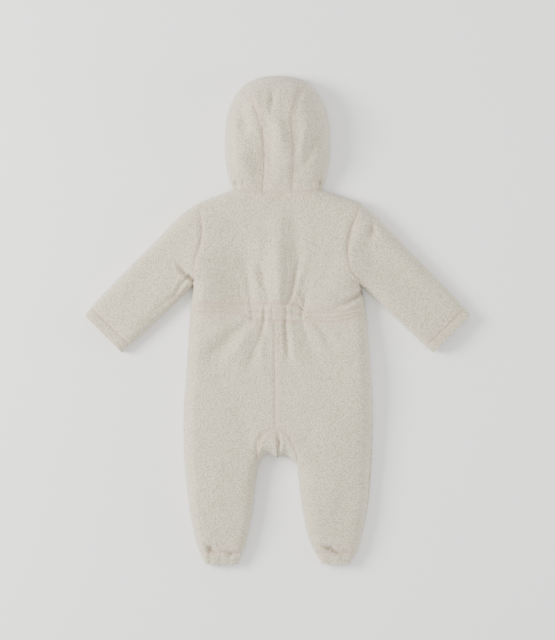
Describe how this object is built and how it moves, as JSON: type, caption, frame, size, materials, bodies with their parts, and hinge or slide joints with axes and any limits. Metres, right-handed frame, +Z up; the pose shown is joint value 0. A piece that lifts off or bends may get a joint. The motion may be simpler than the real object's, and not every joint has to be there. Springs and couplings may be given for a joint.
{
  "type": "baby snowsuit",
  "caption": "Hooded one-piece baby snowsuit of thick fleece, zipped up and laid flat on its front, with a gathered waist, a crotch gusset and gathered ankles.",
  "frame": {"origin": "middle of the suit's outline, on the surface that it lies on", "axes": "+Y up the suit from its feet to its hood, +X to the right as its back is seen, +Z up out of its back"},
  "size_m": [0.618, 0.78, 0.067],
  "materials": {
    "fleece": "matt sherpa pile, ivory",
    "zip_tape": "matt woven tape, ivory",
    "zip_teeth": "moulded plastic, ivory",
    "zip_metal": "satin plated"
  },
  "bodies": {
    "suit": {"back_bodice": "fleece", "waist_casing_back": "fleece", "hood_centre": "fleece", "hood_face_hem": "fleece", "trouser_back_left": "fleece", "trouser_back_right": "fleece", "gusset_left": "fleece", "gusset_right": "fleece", "sleeve_left": "fleece", "sleeve_right": "fleece", "hood_side_left": "fleece", "hood_side_right": "fleece", "front_left": "fleece", "front_right": "fleece", "ankle_hem_left": "fleece", "ankle_hem_right": "fleece", "zip_tape_left": "zip_tape", "zip_tape_right": "zip_tape", "zip_chain": "zip_teeth", "zip_slider": "zip_metal"},
    "pull_tab": {"zip_pull_tab": "zip_metal"}
  },
  "joints": [
    {"name": "pull_tab_hinge", "type": "hinge", "parent": "suit", "child": "pull_tab", "pos_m": [-0.0045, 0.18, 0.00165], "axis": [1, 0, 0], "range_deg": [0, 175]}
  ]
}
